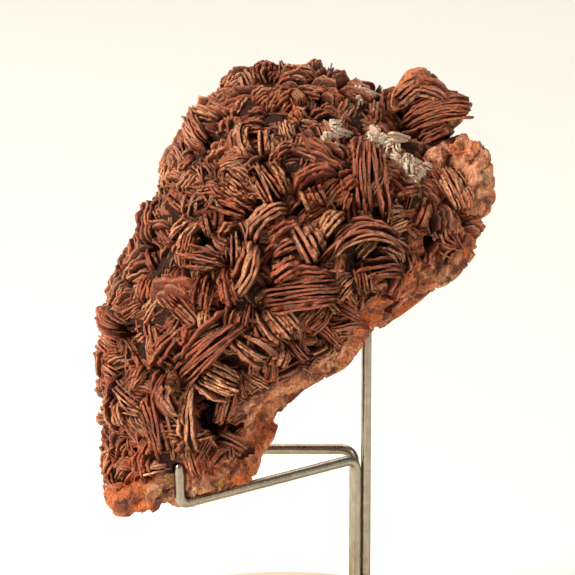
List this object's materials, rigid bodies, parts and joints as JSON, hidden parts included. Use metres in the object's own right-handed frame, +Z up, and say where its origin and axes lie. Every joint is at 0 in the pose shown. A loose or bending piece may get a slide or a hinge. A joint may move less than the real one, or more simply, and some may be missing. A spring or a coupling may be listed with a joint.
{
  "type": "crested barite specimen on a wire stand",
  "caption": "Cluster of crested barite blades leaning back on a post, its lower end carried by two hooked wire arms that rise from a round wooden foot.",
  "frame": {"origin": "centre of the foot's underside", "axes": "+Z up, +X to the right and +Y away from a viewer who looks at the crystal side"},
  "size_m": [0.1168, 0.116, 0.1889],
  "materials": {
    "foot": "pale hardwood, sanded and waxed",
    "wire": "drawn stainless wire with a warm tint, dull polish",
    "barite": "red-brown barite with mauve blade faces and orange rims, waxy to vitreous"
  },
  "bodies": {
    "root": {"foot": "foot", "back_post": "wire", "front_arm": "wire", "rear_arm": "wire", "barite": "barite"}
  },
  "joints": []
}
